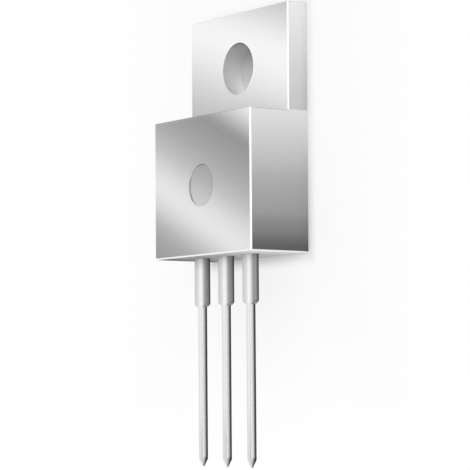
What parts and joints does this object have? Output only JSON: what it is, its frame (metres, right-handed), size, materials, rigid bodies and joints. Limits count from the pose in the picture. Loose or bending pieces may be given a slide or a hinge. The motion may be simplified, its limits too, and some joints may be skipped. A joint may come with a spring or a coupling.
{
  "type": "schottky diode",
  "caption": "Schottky diode pair with a common cathode, in a moulded power package with a screw tab and straight leads, lying on its mounting face.",
  "frame": {"origin": "on the axis of the tab's screw hole, at the mounting face on the back of the tab", "axes": "+Z out of the front of the package, +Y from the hole towards the tab's top, leads towards -Y, +X to the right seen from the front"},
  "size_m": [0.0102, 0.0277, 0.0042],
  "materials": {
    "moulding": "satin",
    "plated_copper": "satin",
    "silicon": "satin",
    "solder": "satin",
    "bond_wire": "satin"
  },
  "bodies": {
    "root": {"moulded_body": "moulding", "tab_and_cathode_lead": "plated_copper", "anode_lead_left": "plated_copper", "anode_lead_right": "plated_copper", "die_left": "silicon", "die_right": "silicon", "die_solder_left": "solder", "die_solder_right": "solder", "bond_wire_left_outer": "bond_wire", "bond_wire_left_inner": "bond_wire", "bond_wire_right_inner": "bond_wire", "bond_wire_right_outer": "bond_wire"}
  },
  "joints": []
}
